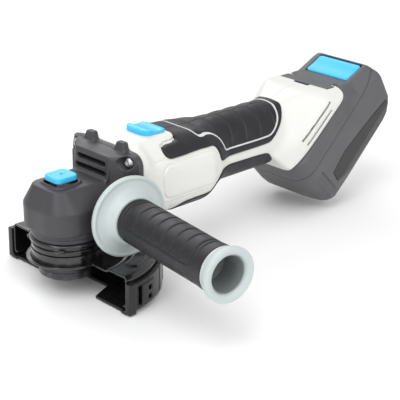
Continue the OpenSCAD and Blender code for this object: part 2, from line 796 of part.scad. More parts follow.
module cutting_cover() color(black) difference() {
    union() {
        half_turn() polygon([
            [6, cover_bottom], [cutting_cover_r - 3, cover_bottom], [cutting_cover_r, cover_bottom + 3],
            [cutting_cover_r, 10.5], [guard_r + gap, 10.5], [guard_r + gap, cover_bottom + 4.2],
            [guard_r - 1.4, cover_bottom + 2.5], [6, cover_bottom + 2.5]]);
        for (a = [-84 : 24 : 84]) rotate([0, 0, a])
            translate([guard_r + 1, -1.5, cover_bottom + 2]) cube([cutting_cover_r - guard_r - 0.4, 3, 20]);
    }
    // recess around the flange nut with slanting sides
    translate([0, 0, cover_bottom - 1]) linear_extrude(5)
        polygon([[-5, -31.5], [0, -31.5], [18, -24], [18, 24], [0, 31.5], [-5, 31.5]]);
    // slots through the side wall near both ends
    for (s = [-1, 1]) {
        rotate([0, 0, s * 78]) translate([guard_r - 2, -1.5, -6]) cube([10, 3, 13]);
        for (z = [-5, 3]) rotate([0, 0, s * 70]) translate([guard_r - 2, -2, z]) cube([10, 4, 2.6]);
    }
}

// ---------- side handle ----------

module side_handle_core() color(light_grey) side_handle_frame() difference() {
    rotate_extrude($fn = 96) polygon(concat(
        [[0, boss_face], [boss_r, boss_face], [handle_flange_r - 1.5, -2],
            [handle_flange_r, -0.5], [handle_flange_r, 1.5], [handle_flange_r - 1.5, 2.5]],
        [for (a = [10 : 20 : 90]) [handle_grip_r + 10 * (1 - sin(a)), 10 - 7.5 * cos(a)]],
        [[14.4, 10.5], [14.4, 107], [handle_grip_r - 0.5, 107], [handle_grip_r + 0.4, 111],
            [19.8, handle_len - 2.5], [19, handle_len], [0, handle_len]]));
    translate([0, 0, 20]) cylinder(r = 11.5, h = 200);
    translate([0, 0, 100]) cylinder(r = 13.6, h = 100);
    translate([0, 0, boss_face - 1]) cylinder(r = stud_r, h = 18);
}

module side_handle_grip() color(black) side_handle_frame() difference() {
    translate([0, 0, 10.6]) cylinder(r = handle_grip_r, h = 96.2);
    cylinder(r = 14.5, h = 200);
    for (k = [0 : 7]) translate([0, 0, 22 + 9.5 * k])
        tube(0, 1.6, handle_grip_r + 1, handle_grip_r - 0.8);
}

module side_handle_stud() color(steel) side_handle_frame()
    translate([0, 0, boss_face - stud_in]) cylinder(r = stud_r, h = stud_in + 16);

// ---------- battery ----------

// Everything below the top face of the pack, which rises towards its rear edge, inset by d
module below_top(d) polygon([[0, -200], [0, foot_top - d], [slope_x + d * 0.25, foot_top - d],
    [slope_x + 60, foot_top - d * 1.1 + 60 * tan(slope_angle)], [slope_x + 60, -200]]);

// Side outline of the pack below the rail plane, inset by d
module pack_outline(d, high_r = 22, low_r = 16) intersection() {
    rotate(tilt) translate([0, -rail_plane]) {
        translate([battery_low + d, -battery_t / 2])
            square([battery_high - battery_low - 2 * d, battery_t / 2 - d]);
        translate([battery_low + low_r, -battery_t + d])
            square([battery_high - battery_low - low_r - high_r, battery_t - 2 * d]);
        translate([battery_low + d, -battery_t + low_r]) square([low_r, battery_t - low_r - d]);
        translate([battery_low + low_r, -battery_t + low_r]) circle(low_r - d);
        translate([battery_high - high_r - 1, -battery_t + high_r])
            square([high_r + 1 - d, battery_t - high_r - d]);
        translate([battery_high - high_r, -battery_t + high_r]) circle(high_r - d);
    }
    below_top(d);
}

// Side outline of the tongue that slides in the foot, from the rail plane up, inset by d
module tongue_outline(d, low, high) intersection() {
    rotate(tilt) translate([tongue_low + d, -rail_plane + low]) square([100, high - low]);
    below_top(d);
}

module pack_solid(d) xz(-battery_w / 2 + d, battery_w - 2 * d) pack_outline(d);

module tongue_solid(d) {
    xz(-tongue_neck + d, 2 * tongue_neck - 2 * d) tongue_outline(d, -4, tongue_h - d);
    xz(-tongue_head + d, 2 * tongue_head - 2 * d) tongue_outline(d, tongue_step + d, tongue_h - d);
}

module battery_zone(from, to) rails()
    translate([battery_low - 10, -60, -rail_plane - to]) cube([150, 120, to - from]);

// The slanted plane that carries the button
module button_frame() translate([slope_x, 0, foot_top]) rotate([0, -slope_angle, 0]) children();

module battery_top_shell() color(charcoal) difference() {
    union() {
        intersection() {
            pack_solid(0);
            battery_zone(-5, shell_split);
        }
        tongue_solid(0);
    }
    pack_solid(wall);
    tongue_solid(2);
    // slots for the contact blades
    for (y = blade_y) rails() translate([tongue_low - 1, y - 0.8, -rail_plane + 3.6]) cube([5, 1.6, 5.8]);
    // window of the latch tooth
    translate([tooth_x[0] - 0.5, -tooth_half_w - 0.4, arm_z + arm_t])
        cube([tooth_x[1] - tooth_x[0] + 2.8, 2 * tooth_half_w + 0.8, 20]);
    // opening for the button
    button_frame() translate([1.2, -button_w / 2 - 0.4, -5]) cube([button_len + 1.6, button_w + 0.8, 12]);
}

module battery_bottom_shell() color(charcoal) difference() {
    intersection() {
        difference() {
            pack_solid(0);
            pack_solid(wall);
        }
        battery_zone(shell_split + 0.05, battery_t + 5);
    }
    // bays for the label panels
    for (s = [-1, 1]) label_plate(s, 0.1);
    // recessed screw holes
    rails() for (x = battery_screw_x, y = [-30, 30]) translate([x, y, -rail_plane - battery_t - 1]) {
        cylinder(r = 3.2, h = 3, $fn = 32);
        cylinder(r = 1.55, h = 6, $fn = 24);
    }
}

module label_plate(s, extra) rails()
    translate([232, s * (battery_w / 2 - 0.5 + extra / 2), -rail_plane - 42]) rotate([90, 0, 0])
        translate([0, 0, -0.6 - extra]) linear_extrude(1.1 + 2 * extra) round_rect(80 + extra, 24 + extra, 5);

module battery_labels() color([0.25, 0.25, 0.27]) for (s = [-1, 1]) label_plate(s, 0);

module battery_cells() color([0.3, 0.5, 0.7]) rails()
    for (i = [0 : 4], layer = cell_layers)
        translate([cell_first + cell_pitch * i, cell_len / 2, -rail_plane - layer])
            rotate([90, 0, 0]) cylinder(r = cell_r, h = cell_len);

module battery_board() color([0.1, 0.35, 0.2]) rails()
    translate([190, -30, -rail_plane - 15]) cube([55, 60, 1.6]);

module battery_terminals() color(brass) rails() translate([tongue_low + 2.4, 0, -rail_plane])
    for (y = blade_y) difference() {
        translate([0, y - 1.6, -13]) cube([7, 3.2, 23]);
        translate([-1, y - 0.6, -4]) cube([9, 1.2, 13.6]);
    }

module battery_screws() color(steel) rails()
    for (x = battery_screw_x, y = [-30, 30])
        translate([x, y, -rail_plane - battery_t + 2]) mirror([0, 0, 1]) pan_screw(2, 1.5, 2.8, 1.6);

module battery_button() color(cyan) {
    button_frame() translate([1.6, -button_w / 2, -2.4]) cube([button_len, button_w, 3]);
    translate([post_x, -tooth_half_w, arm_z + arm_t])
        cube([post_t, 2 * tooth_half_w, foot_top + 0.6 - arm_z - arm_t]);
}

// Arm under the top of the pack with the tooth that catches in the foot
module battery_latch() color(black) {
    translate([tooth_x[0], -tooth_half_w, arm_z])
        cube([post_x + post_t - tooth_x[0], 2 * tooth_half_w, arm_t]);
    intersection() {
        translate([tooth_x[0], -tooth_half_w, arm_z]) cube([tooth_x[1] - tooth_x[0], 2 * tooth_half_w, 12]);
        rails() translate([0, -20, -rail_plane - 10]) cube([400, 40, 10 + channel_h + 1.8]);
    }
}

gear_housing();
gear_housing_screws();
bearing_cover();
bearing_cover_screws();
spindle_bearing();
spindle_bush();
lock_spring();
housing_left();
housing_right();
housing_screws();
grip_left();
grip_right();
grip_inlays();
lower_grips();
belly_pad();
side_panels();
motor_can();
motor_magnets();
front_bearing();
rear_bearing();
air_baffle();
brush_holders();
carbon_brushes();
brush_springs();
switch_module();
control_board();
battery_rails();
terminal_block();
foot_contacts();
power_leads();
spindle();
crown_gear();
inner_flange();
lock_nut();
armature_shaft();
armature_core();
armature_windings();
commutator();
cooling_fan();
pinion_gear();
lock_button();
lock_pin();
slide_switch();
switch_rod();
guard_shell();
clamp_band();
clamp_screw();
cutting_cover();
side_handle_core();
side_handle_grip();
side_handle_stud();
battery_top_shell();
battery_bottom_shell();
battery_cells();
battery_board();
battery_terminals();
battery_labels();
battery_screws();
battery_button();
battery_latch();
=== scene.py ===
"""Looks of a cordless angle grinder around its CAD frame. Shapes are worked out in mm."""

import json
import math
from functools import reduce

import bmesh
import bpy
import numpy as np
from mathutils import Matrix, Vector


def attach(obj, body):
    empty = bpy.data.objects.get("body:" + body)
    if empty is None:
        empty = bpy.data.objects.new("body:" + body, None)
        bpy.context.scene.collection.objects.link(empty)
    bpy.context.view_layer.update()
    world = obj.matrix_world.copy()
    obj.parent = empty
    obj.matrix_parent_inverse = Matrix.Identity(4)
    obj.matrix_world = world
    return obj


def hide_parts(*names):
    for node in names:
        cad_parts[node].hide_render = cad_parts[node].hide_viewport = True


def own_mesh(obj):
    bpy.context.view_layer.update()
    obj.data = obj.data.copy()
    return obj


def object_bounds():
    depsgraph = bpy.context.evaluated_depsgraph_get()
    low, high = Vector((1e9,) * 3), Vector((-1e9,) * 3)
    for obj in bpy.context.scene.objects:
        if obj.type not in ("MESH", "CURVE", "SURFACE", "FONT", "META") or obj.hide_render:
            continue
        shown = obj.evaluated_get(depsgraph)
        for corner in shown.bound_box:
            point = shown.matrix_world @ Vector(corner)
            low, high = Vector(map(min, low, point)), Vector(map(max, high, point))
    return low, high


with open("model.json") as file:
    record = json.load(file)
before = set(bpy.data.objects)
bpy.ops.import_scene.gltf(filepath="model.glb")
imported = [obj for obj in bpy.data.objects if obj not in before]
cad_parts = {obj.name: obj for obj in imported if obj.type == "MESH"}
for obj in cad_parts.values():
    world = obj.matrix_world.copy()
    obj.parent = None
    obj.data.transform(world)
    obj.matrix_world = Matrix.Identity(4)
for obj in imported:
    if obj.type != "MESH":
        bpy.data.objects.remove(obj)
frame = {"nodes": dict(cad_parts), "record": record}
cad_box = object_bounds()
MM = 0.001
FINE = 1.0  # grid steps are this many times longer


# Shape tools. A shape is a signed distance in mm: negative inside, 0 on the surface.


def smin(a, b, k):
    """Lower of two distances, blended over k mm."""
    h = np.maximum(k - np.abs(a - b), 0) / k
    return np.minimum(a, b) - h * h * k * 0.25


def smax(a, b, k):
    """Higher of two distances, blended over k mm: an edge with a fillet."""
    return -smin(-a, -b, k)


def carve(solid, tool, k=0.6):
    """The solid without the tool, with a soft edge."""
    return smax(solid, -tool, k)


def most(*distances):
    """Highest of several distances: what all the shapes share, with sharp edges."""
    return reduce(np.maximum, distances)


def slab(v, low, high):
    """Distance outside the range from low to high."""
    return np.maximum(low - v, v - high)


def groove(distance, depth, width):
    """How much a surface sinks near the line where distance is 0."""
    return depth * np.exp(-((distance / width) ** 2))


def box2(x, y, w, h, r):
    """Distance to a rectangle of half sizes w, h with corners of radius r."""
    qx = np.abs(x) - (w - r)
    qy = np.abs(y) - (h - r)
    out = np.sqrt(np.maximum(qx, 0) ** 2 + np.maximum(qy, 0) ** 2)
    return out + np.minimum(np.maximum(qx, qy), 0) - r


def box3(x, y, z, low, high, r=0.0):
    """Distance to a box between two corners, edges rounded by r."""
    q = [
        np.abs(v - (a + b) / 2) - ((b - a) / 2 - r)
        for v, a, b in zip((x, y, z), low, high)
    ]
    out = np.sqrt(sum(np.maximum(v, 0) ** 2 for v in q))
    return out + np.minimum(np.maximum(np.maximum(q[0], q[1]), q[2]), 0) - r


def poly(x, y, points):
    """Signed distance to a closed outline."""
    best, sign = 1e9, 1.0
    for (ax, ay), (bx, by) in zip(points, points[-1:] + points[:-1]):
        ex, ey, wx, wy = bx - ax, by - ay, x - ax, y - ay
        t = np.clip((wx * ex + wy * ey) / (ex * ex + ey * ey), 0, 1)
        best = np.minimum(best, (wx - ex * t) ** 2 + (wy - ey * t) ** 2)
        up, down, left = y >= ay, y < by, ex * wy > ey * wx
        flip = (up & down & left) | ~(up | down | left)
        sign = np.where(flip, -sign, sign)
    return sign * np.sqrt(best)


def soften(points, times=2):
    """Cuts the corners of a closed outline so that it reads as drawn in one sweep."""
    for _ in range(times):
        new = []
        for a, b in zip(points, points[1:] + points[:1]):
            new += [
                (0.75 * a[0] + 0.25 * b[0], 0.75 * a[1] + 0.25 * b[1]),
                (0.25 * a[0] + 0.75 * b[0], 0.25 * a[1] + 0.75 * b[1]),
            ]
        points = new
    return points


def curve(x, keys, soft=3.0):
    """Value of a softened broken line at x."""
    xs, ys = zip(*keys)
    t = np.arange(xs[0] - 20, xs[-1] + 20, 0.25)
    v = np.interp(t, xs, ys)
    n = max(int(soft / 0.25), 1)
    for _ in range(2):
        v = np.convolve(np.pad(v, n, mode="edge"), np.ones(2 * n + 1) / (2 * n + 1), "valid")
    return np.interp(x, t, v)


# Motor housing, handle and foot
RAIL_TURN, RAIL_PLANE = math.radians(43.5), 120.0
RAIL_COS, RAIL_SIN = math.cos(RAIL_TURN), math.sin(RAIL_TURN)
FLANK = 30  # seams are cut farther out than this
WALL = 2.7
GRIP_LOW = 58


def rail(x, z):
    """Place along the battery rails, and height above the rail plane."""
    return RAIL_COS * x + RAIL_SIN * z, RAIL_PLANE - (RAIL_SIN * x - RAIL_COS * z)


def body(x, y, z):
    """Motor housing and handle without rubber, pad and foot."""
    w = curve(x, ((42, 37), (49, 37), (54, 35), (116, 35), (131, 28.5), (141, 24.6)))
    top = curve(x, ((42, 89.0), (84, 88.8), (98, 86.2), (112, 85.2), (205, 84.9)), 4)
    low = curve(x, ((42, 29.2), (116, 29.4), (129, 32.6), (141, 34.6)))
    r = curve(x, ((42, 14), (49, 14), (56, 24), (116, 24), (141, 24.5)))
    return box2(y, z - (top + low) / 2, w, (top - low) / 2, r)


def facet(a, b, c, inside=(235, 0, 62)):
    """Plane through three points: its direction away from inside, and its offset."""
    a, b, c = (np.array(v, float) for v in (a, b, c))
    n = np.cross(b - a, c - a)
    n /= np.linalg.norm(n)
    if n @ (np.array(inside) - a) > 0:
        n = -n
    return n, n @ a


FOOT_FACETS = [
    facet((212, 0, 84.9), (229, 0, 92.2), (212, 9, 84.9)),
    facet((198.6, 26.5, 0), (216.6, 35.4, 0), (198.6, 26.5, 9)),
    facet((216.6, 35.4, 0), (262, 38.8, 0), (216.6, 35.4, 9)),
    facet((229.5, 36, 72.7), (241.2, 36, 85.4), (236, 26.7, 92)),
    facet((229, 30, 92), (252, 30, 92), (252, 38.8, 84)),
    (np.array([0.0, 0.0, 1.0]), 92.0),
    (np.array([0.0, 1.0, 0.0]), 38.8),
    (np.array([-0.8 * RAIL_COS, 0.6, -0.8 * RAIL_SIN]), -0.8 * 171.0 + 0.6 * 29.5),
    (np.array([-RAIL_COS, 0.0, -RAIL_SIN]), -171.3),
]


def foot(x, y, z):
    """Foot that carries the battery: the rail plane and the facets, all rounded."""
    _, v = rail(x, z)
    d = 0.3 - v
    ay = np.abs(y)
    for n, at in FOOT_FACETS:
        d = smax(d, n[0] * x + n[1] * ay + n[2] * z - at, 3.5)
    return d


def skin(x, y, z):
    """Housing, handle and foot in one surface, where the rubber lies."""
    return smin(body(x, y, z), foot(x, y, z), 3.0)


def outer(x, y, z):
    """The whole plastic body before anything is cut."""
    tube = smax(smax(body(x, y, z), 42.1 - x, 0.8), x - 214, 1.0)
    pad = smax(box2(y, z - 86.2, 17.5, 3.3, 2.4), slab(x, 51, 90.5), 2.0)
    return smin(smin(tube, pad, 3.0), foot(x, y, z), 3.0)


RUBBER = soften([
    (89.0, 100), (88.8, 87), (87.5, 85.3), (72, 85.0), (69.2, 83.0), (69.6, 79.5), (72.5, 77.0), (76, 76.6),
    (116, 76.4), (122, 74.8), (125.5, 70), (127.5, 63), (130.5, 60.0), (136, 60.6), (184, 60.4), (190, 62),
    (204, 74), (210, 80.5), (212.6, 87), (212, 100)], 1)
INLAY = soften([
    (108.4, 100), (108.6, 88), (109.5, 83.8), (113, 83.2), (118, 83.5), (125, 82), (131, 77.8), (133.6, 73),
    (135.5, 67.3), (140, 66.6), (184, 66.3), (190, 67.6), (197, 72.6), (203, 79), (207, 86.5),
    (207.5, 100)], 1)
LOWER = soften([
    (80, 10), (81, 32), (87, 37.5), (93, 39.0), (117, 39.2), (125, 43), (130.5, 51.5), (134.5, 53.4),
    (182, 52.8), (189, 50.8), (193, 45.5), (198, 38), (200, 10)], 1)
RIB_X, RIB_GAP = 128.5, 15.9


def cut_foot(d, out, x, y, z):
    """Rail channel, latch pocket and side vents."""
    u, v = rail(x, z)
    ay = np.abs(y)
    wide = np.where(z > 87.0, np.where(v > 5.4, 26.4, 21.4), np.where(x < 221, 26.4, 29.05))
    d = carve(d, most(slab(u, 179, 300), slab(v, -3, 13.05), ay - wide), 0.4)
    d = carve(d, most(slab(u, 219, 300), slab(v, -3, 15.5), ay - 8.25), 0.5)
    for low, high, at in ((197, 233, 4.6), (196, 237, 10.7)):
        vent = most(slab(u, low, high), slab(v, at, at + 2.1), 26 - ay, -(out + 4.0))
        d = carve(d, vent, 0.5)
    return d


def shell(x, y, z):
    """White body with its seams, seat of the rubber, slot of the switch and vents."""
    out = outer(x, y, z)
    ay = np.abs(y)
    flank = ay > FLANK
    edge = box2(x - 94, z - 59.8, 30.5, 13.2, 8.5)
    d = out + groove(np.maximum(np.abs(edge) - 0.15, 0), 0.55, 0.55) * flank
    for low, high, at in ((60, 116, 76.9), (60, 110, 43.4)):
        line = np.maximum(np.abs(z - at), slab(x, low, high))
        d = d + groove(line, 0.45, 0.7) * flank
    # seat of the rubber, so that its edge sits in a shadow line
    above = np.where((z > 83.5) & (x < 90), z - 1.0, z)
    d = np.maximum(d, -smax(smax(poly(x, above, RUBBER) - 0.25, -(out + 1.0), 0.3), out - 3, 0.3))
    # hollow inside
    d = np.maximum(d, np.minimum(-(out + WALL), 262 - x))
    d = cut_foot(d, out, x, y, z)
    # slot of the thumb slide, and room for its rod under the top wall
    d = carve(d, most(slab(x, 66.8, 79.5), ay - 3.6, 78 - z), 0.4)
    d = np.maximum(d, -most(slab(x, 64, 130), ay - 4.7, slab(z, 79, 84.0)))
    # air vents under the motor bulge
    for k in range(4):
        at = 108.6 + 4 * k
        d = carve(d, most(slab(x, at, at + 2.1), slab(ay, 20, 40), slab(z, 20, 38.3)), 0.5)
    return d


def ribbed(x, z):
    """How much the grip sinks: ribs inside the inlay, and the seat of the inlay."""
    inlay = poly(x, z, INLAY)
    inside = 1 / (1 + np.exp((inlay + 1.9) * 4))
    across = (x - RIB_X - 0.42 * np.maximum(z - 68, 0)) / RIB_GAP
    near = np.abs(across - np.round(across)) * RIB_GAP
    ribs = groove(near, 0.95, 0.72) + 0.28 * np.cos(2 * np.pi * across)
    seat = 0.75 * np.exp(-((inlay / 0.85) ** 4))
    return ribs * inside + seat


def grip(x, y, z):
    """Upper rubber with its ribs."""
    out = skin(x, y, z)
    d = smax(out - 1.35, poly(x, z, RUBBER), 1.6)
    return np.maximum(smax(d + ribbed(x, z), -(out + 0.9), 0.3), GRIP_LOW - z)


def inlay_line(x, y, z):
    """Thin light line that runs round the ribs."""
    out = skin(x, y, z)
    d = smax(out - 1.5, np.abs(poly(x, z, INLAY)) - 0.62, 0.6)
    return most(d, -(out - 0.2), GRIP_LOW - z)


def inset(out, x, z):
    """Lower rubber, from 0.4 mm under the surface to 0.9 mm over it."""
    return smax(smax(out - 0.9, poly(x, z, LOWER), 1.4), -(out + 0.4), 0.3)


def low_grip(x, y, z):
    """Lower rubber on the handle."""
    return smax(inset(skin(x, y, z), x, z), 131.2 - x, 0.5)


def belly(x, y, z):
    """Lower rubber under the motor bulge."""
    return smax(inset(body(x, y, z), x, z), x - 130.9, 0.5)


def panel(x, y, z):
    """Raised plain plates on both sides of the motor housing."""
    d = smax(box2(x - 94, z - 59.8, 29.6, 12.3, 7.7), np.abs(y) - 35.35, 0.8)
    return np.maximum(smax(d, body(x, y, z) - 0.35, 0.5), 33.4 - np.abs(y))


# Gear head and side handle
HANDLE_TILT, HANDLE_ROOT = math.radians(7.9), (25, -39.9, 47.4)
HANDLE_SIN, HANDLE_COS = math.sin(HANDLE_TILT), math.cos(HANDLE_TILT)


def along_handle(x, y, z, side=-1):
    """Place along the side handle's axis, and distance from it."""
    dx, dy, dz = x - HANDLE_ROOT[0], side * y + HANDLE_ROOT[1], z - HANDLE_ROOT[2]
    t = -HANDLE_SIN * dx + HANDLE_COS * dy
    e = HANDLE_COS * dx + HANDLE_SIN * dy
    return t, np.sqrt(e * e + dz * dz)


def head(x, y, z):
    """Cast gear head: round skirt, sloped shoulders, slotted block and flange."""
    ay = np.abs(y)
    front = curve(z, ((25, -26.6), (52.5, -27.0), (54.5, -26.6), (66.5, -21.6), (69, -20.4)), 0.7)
    half = curve(z, ((25, 27.0), (52.5, 27.3), (54.5, 27.0), (66.5, 18.6), (69, 17.4)), 0.7)
    r = curve(z, ((25, 19), (52.5, 19), (67, 9.5), (69, 9)), 1.0)
    d = smax(box2(x - (front + 32) / 2, y, (32 - front) / 2, half, r), slab(z, 37.2, 69), 1.4)
    rr = np.hypot(x, y)
    d = smin(d, smax(rr - 26.2, slab(z, 33.6, 40), 0.8), 0.6)
    d = smin(d, smax(rr - 25.2, slab(z, 30, 35), 0.5), 0.5)
    # block behind the plateau
    planes = (
        ((-0.988, 0, 0.156), -22 * 0.988 + 66 * 0.156),
        ((-0.797, 0.604, 0.0), -24.5 * 0.797 + 18.6 * 0.604),
        ((-0.26, 0, 0.966), -25 * 0.26 + 85.2 * 0.966),
        ((0, 1, 0), 35.5), ((0, 0, 1), 88.3), ((1, 0, 0), 41.0), ((0, 0, -1), -27.0),
    )
    block = -99.0
    for n, at in planes:
        block = smax(block, n[0] * x + n[1] * ay + n[2] * z - at, 1.6)
    raised = smax(box2(y, z - 76.2, 19.4, 9.4, 3.0), np.abs(x - 30) - 10, 0.6)
    raised = smax(raised, -0.988 * x + 0.156 * z + 22.6 * 0.988 - 66 * 0.156, 0.8)
    block = smin(block, raised, 0.6)
    d = smin(d, block, 2.2)
    # flange towards the motor housing, and the hood that swells into it
    plate = smax(box2(y, z - 56.85, 37.9 - 0.06 * (42 - x), 31.8, 9.5), slab(x, 37.2, 41.95), 1.2)
    hood = box2(y, z - 56.3, 35.2 - 0.35 * (42 - x), 30.5 - 0.2 * (42 - x), 9)
    hood = smax(hood, slab(x, 31.5, 41), 1.4)
    d = smin(smin(d, hood, 1.6), plate, 1.0)
    # two lugs on top of the flange
    lug = smax(np.abs(ay - 17) - 4.9 + (z - 90) * 0.26, slab(x, 35.6 + (z - 88) * 0.25, 41.9), 1.0)
    lug = smax(lug, slab(z, 80, 94.3), 1.0)
    d = smin(d, lug, 1.2)
    # bosses and sockets of the side handle
    for s in (-1, 1):
        t, rr = along_handle(x, y, z, s)
        d = smin(d, smax(rr - 13, slab(t, -20, -3), 0.8), 1.5)
        if s > 0:
            d = carve(d, np.maximum(rr - 4.05, slab(t, -20, 9)), 0.5)
    # two slots in the front of the block, and the screw holes
    for k in range(2):
        slot = box2(y, z - 72.8 - 6.8 * k, 16.8 - k, 1.75, 1.7)
        d = carve(d, np.maximum(slot, slab(x, 10, 33)), 0.7)
    for zz in (33, 82.5):
        hole = np.hypot(ay - 29, z - zz) - 4.6 - 0.12 * (36 - x)
        d = carve(d, smax(hole, slab(x, 10, 36.0), 0.4), 0.6)
    # rim and pocket of the spindle lock
    d = smin(d, smax(box2(x + 3.7, y, 12.2, 11.6, 6), slab(z, 66, 70.6), 0.8), 0.8)
    pocket = box2(x + 3.7, y, 10.4, 9.75, 4.8)
    d = carve(d, smax(pocket, slab(z, 66.1, 90), 0.4), 0.7)
    # wheel chamber mouth
    return carve(d, np.maximum(np.hypot(x, y) - 23.4, slab(z, 10, 40)), 0.3)


PANEL_ANGLE, PANEL_MIDDLE = math.radians(97.0), 57.5  # the ribbed panels of the side handle
SLEEVE_R, SLEEVE_RIB_GAP = 17, 11.0


def handle_rubber(x, y, z):
    """Sleeve with two ribbed panels; x along the sleeve, y and z across."""
    r = np.sqrt(y * y + z * z)
    turn = np.arctan2(z, y) - PANEL_ANGLE
    arc = SLEEVE_R * (np.mod(turn + math.pi / 2, math.pi) - math.pi / 2)
    zone = box2(x - PANEL_MIDDLE, arc, 42.5, 22.4, 9)
    inside = 1 / (1 + np.exp((zone + 0.9) * 5))
    across = (x - PANEL_MIDDLE) / SLEEVE_RIB_GAP + 0.5
    near = np.abs(across - np.round(across)) * SLEEVE_RIB_GAP
    sink = inside * groove(near, 1.05, 0.7) + groove(zone, 0.8, 0.7) + 0.15 * inside
    taper = curve(x, ((10, 16.6), (16, 17.0), (98, 16.6), (109, 17.0)), 2)
    return smax(smax(r - taper + sink, slab(x, 10.7, 109.3), 0.8), 14.5 - r, 0.3)


# Guard and clip-on cover: outlines turned round the spindle, as (radius, height)
GUARD_ARC, COVER_ARC, RIB_ARC = 0.96, 1.2, 1.18  # mm for each degree
GUARD = [(26, 12.5), (44, 12.5), (47, 14.5), (63.6, 14.5), (64.4, 13.7), (64.4, -6.5), (62, -6.5), (62, -8),
    (64.9, -8), (66, -7), (66, 13.4), (63.6, 16), (46.4, 16), (43.4, 14), (26, 14)]
COVER = [(6, -12.7), (66.6, -12.7), (69.6, -9.7), (69.6, 10.5), (66.3, 10.5), (66.3, -8.5), (64.6, -10.2),
    (6, -10.2)]


def guard(x, y, z):
    """Half-round pressed guard with its collar and three pressed fields."""
    r = np.hypot(x, y)
    d = smax(poly(r, z, GUARD) - 0.05, -x, 0.6)
    d = smin(d, smax(slab(r, 26.1, 29.6), slab(z, 12.45, 14.05), 0.6), 0.4)
    ang = np.degrees(np.arctan2(y, x))
    for at in (-62, 0, 62):
        lift = box2((ang - at) * GUARD_ARC, r - 55, 13, 4.6, 4)
        d = d - 1.1 / (1 + np.exp(np.clip(lift * 2.2, -30, 30))) * (z > 10)
    return d


def cover(x, y, z):
    """Half-round plastic cover with ribs, end posts and latch windows."""
    r = np.hypot(x, y)
    end = np.where(np.abs(y) > 61.5, -1.5, 0.0)
    d = smax(poly(r, z, COVER), end - x, 0.7)
    ang = np.degrees(np.arctan2(y, x))
    for at in range(-72, 73, 16):
        rib = np.maximum(np.abs((ang - at) * RIB_ARC) - 1.3, slab(z, -9, 9.6))
        d = smin(d, smax(smax(rib, r - 70.1, 0.6), 66.4 - r, 0.3), 0.7)
    notch = poly(x, y, [(-5, -31.5), (0, -31.5), (18, -24), (18, 24), (0, 31.5), (-5, 31.5)])
    d = carve(d, smax(notch, slab(z, -20, -9), 0.4), 0.8)
    for s in (-1, 1):
        a = ang * s
        # end post with its slot and two windows
        post = np.maximum(np.abs((a - 88.4) * RIB_ARC) - 3.2, slab(z, -12, 11.6))
        post = smax(post, slab(r, 66.35, 70.9), 0.6)
        d = smin(d, post, 0.8)
        latch = smax(box2((a - 74.6) * COVER_ARC, z + 0.5, 8.6, 8.2, 1.2), slab(r, 66.4, 70.7), 0.6)
        d = smin(d, latch, 0.6)
        d = carve(d, np.maximum(box2((a - 81.5) * COVER_ARC, z - 0.2, 1.5, 7.2, 0.6), 65 - r), 0.5)
        for zz in (-4.4, 2.6):
            window = box2((a - 72.3) * COVER_ARC, z - zz, 2.1, 1.7, 0.5)
            d = carve(d, np.maximum(window, 65 - r), 0.5)
    d = smax(d, end - x, 0.4)
    return smax(d, slab(z, -12.7, 30), 0.5)


# Battery pack: outline as (place along the rails, depth under the rail plane)
PACK_RISE, PACK_SEAM = math.radians(25.5), 17.0
PACK = [(172.8, 36), (174.5, 46), (178.5, 54.5), (187.5, 61.2), (206, 62.6), (268, 62.6), (275.5, 60),
    (284.6, 47.6), (289.3, 26.7), (289.6, -3), (173.8, -3)]


def pack_top(x, z):
    """Height above the top, which is level and then rises along the button."""
    return np.where(x < 280, z - 92, (z - 92 - (x - 280) * math.tan(PACK_RISE)) * 0.903)


def pack_half(w):
    """Half width of the pack at depth w."""
    return curve(w, ((-2, 36.6), (9.0, 36.6), (11.5, 37.45), (52, 37.45), (64, 34.5)), 0.8)


def pack(x, y, z):
    """Whole pack with its tongue, button bay, seam and label bays."""
    u, v = rail(x, z)
    w, ay = -v, np.abs(y)
    d = poly(u, w, PACK) - 1.3
    d = smax(d, -w, 0.8)
    half = pack_half(w)
    d = smax(d, ay - half, 5.0)
    # plan corners of the lower end and shoulders of the upper end
    d = smax(d, -0.75 * (u - 173) + 0.66 * (ay - 28), 5.0)
    top = pack_top(x, z)
    d = smax(d, top, 1.0)
    d = smax(d, 0.62 * (ay - 27.5) + 0.785 * top, 2.0)
    # tongue that slides into the foot, narrower at its neck
    tongue = most(slab(u, 182.1, 300), -v - 3, v - 12.5)
    neck = np.where(v > 5.7, ay - 25.95, ay - 20.95)
    d = smin(d, smax(smax(smax(tongue, neck, 0.6), v - 12.55, 0.4), top, 0.6), 0.4)
    # bay of the release button, hole for its post, and room for the latch arm
    bx, bz = button_frame(x, z)
    d = carve(d, most(slab(bx, 1.1, 24.2), ay - 23.0, slab(bz, -5.6, 9)), 0.5)
    d = np.maximum(d, -most(slab(x, 283.0, 289.0), ay - 8.2, slab(z, 76.5, 99)))
    d = np.maximum(d, -most(slab(x, 244.2, 289.0), ay - 8.2, slab(z, 75.8, 88.5)))
    # groove where the two shells meet, label bays and grip notches
    d = d + groove(np.maximum(np.abs(w - PACK_SEAM) - 0.15, 0), 0.5, 0.5) * (ay > FLANK)
    bay = poly(u, w, LABEL) - 0.4
    d = carve(d, np.maximum(bay, half - 0.8 - ay), 0.5)
    for at in (177, 186):
        notch = most(slab(u, at, at + 5.5), slab(w, 26, 70), 35.9 - ay)
        d = carve(d, notch, 1.2)
    return d


LABEL = soften([(200, 33.5), (279, 45), (281, 50), (274, 57.5), (268, 59), (196, 55)], 1)


def pack_upper(x, y, z):
    """Upper shell of the pack, with the hole for the latch."""
    _, v = rail(x, z)
    d = smax(pack(x, y, z), -PACK_SEAM - v, 0.5)
    return carve(d, most(slab(x, 244.4, 252.9), np.abs(y) - 8.1, slab(z, 81, 99)), 0.4)


